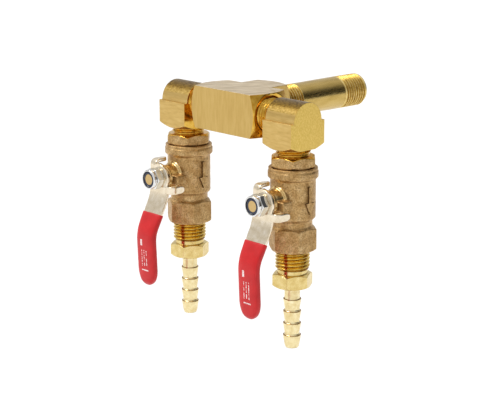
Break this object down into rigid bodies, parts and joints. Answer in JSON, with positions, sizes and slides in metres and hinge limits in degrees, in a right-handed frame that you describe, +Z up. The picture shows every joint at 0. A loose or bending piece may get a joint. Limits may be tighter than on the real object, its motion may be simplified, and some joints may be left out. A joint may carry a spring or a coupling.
{
  "type": "hose splitter",
  "caption": "Threaded brass inlet nipple and tee feeding two elbows, each with a lever ball valve and a barbed hose outlet.",
  "frame": {"origin": "on the inlet thread's centre line at its hand-tight plane, 5.8 mm in from the nipple's free end, where the face of the mating port comes", "axes": "+Y along the inlet nipple, out of its free end; +Z up, away from the outlets; +X along the tee towards the right-hand outlet as seen from the handles"},
  "size_m": [0.082, 0.0949, 0.1015],
  "materials": {
    "bar_brass": "satin sawn and extruded brass bar",
    "pipe_brass": "satin drawn brass pipe",
    "cast_brass": "matt sand-cast brass",
    "turned_brass": "bright turned brass",
    "nickel_plate": "nickel-plated steel strip",
    "polished_plate": "polished plating",
    "red_vinyl": "semi-gloss dipped vinyl",
    "dark_nylon": "dark blue nylon",
    "seat_plastic": "white fluoropolymer",
    "seal_rubber": "black rubber"
  },
  "bodies": {
    "manifold": {"tee": "bar_brass", "inlet_nipple": "pipe_brass", "left_elbow": "bar_brass", "right_elbow": "bar_brass", "left_valve_body": "cast_brass", "right_valve_body": "cast_brass", "left_tailpiece": "cast_brass", "right_tailpiece": "cast_brass", "left_upper_seat": "seat_plastic", "right_upper_seat": "seat_plastic", "left_lower_seat": "seat_plastic", "right_lower_seat": "seat_plastic", "left_hose_barb": "turned_brass", "right_hose_barb": "turned_brass"},
    "left_handle": {"left_stem": "turned_brass", "left_thrust_washer": "seat_plastic", "left_stem_o_ring": "seal_rubber", "left_handle_lever": "nickel_plate", "left_handle_sleeve": "red_vinyl", "left_handle_nut": "polished_plate", "left_nut_insert": "dark_nylon"},
    "left_ball": {"left_ball": "polished_plate"},
    "right_handle": {"right_stem": "turned_brass", "right_thrust_washer": "seat_plastic", "right_stem_o_ring": "seal_rubber", "right_handle_lever": "nickel_plate", "right_handle_sleeve": "red_vinyl", "right_handle_nut": "polished_plate", "right_nut_insert": "dark_nylon"},
    "right_ball": {"right_ball": "polished_plate"}
  },
  "joints": [
    {"name": "left_handle_turn", "type": "hinge", "parent": "manifold", "child": "left_handle", "pos_m": [-0.031, -0.0799, -0.031], "axis": [0, 1, 0], "range_deg": [0, 90]},
    {"name": "left_ball_turn", "type": "hinge", "parent": "manifold", "child": "left_ball", "pos_m": [-0.031, -0.0637, -0.031], "axis": [0, 1, 0], "range_deg": [0, 90]},
    {"name": "right_handle_turn", "type": "hinge", "parent": "manifold", "child": "right_handle", "pos_m": [0.031, -0.0799, -0.031], "axis": [0, 1, 0], "range_deg": [0, 90]},
    {"name": "right_ball_turn", "type": "hinge", "parent": "manifold", "child": "right_ball", "pos_m": [0.031, -0.0637, -0.031], "axis": [0, 1, 0], "range_deg": [0, 90]}
  ],
  "couplings": [
    {"joint": "left_ball_turn", "follows": "left_handle_turn", "ratio": 1},
    {"joint": "right_ball_turn", "follows": "right_handle_turn", "ratio": 1}
  ]
}
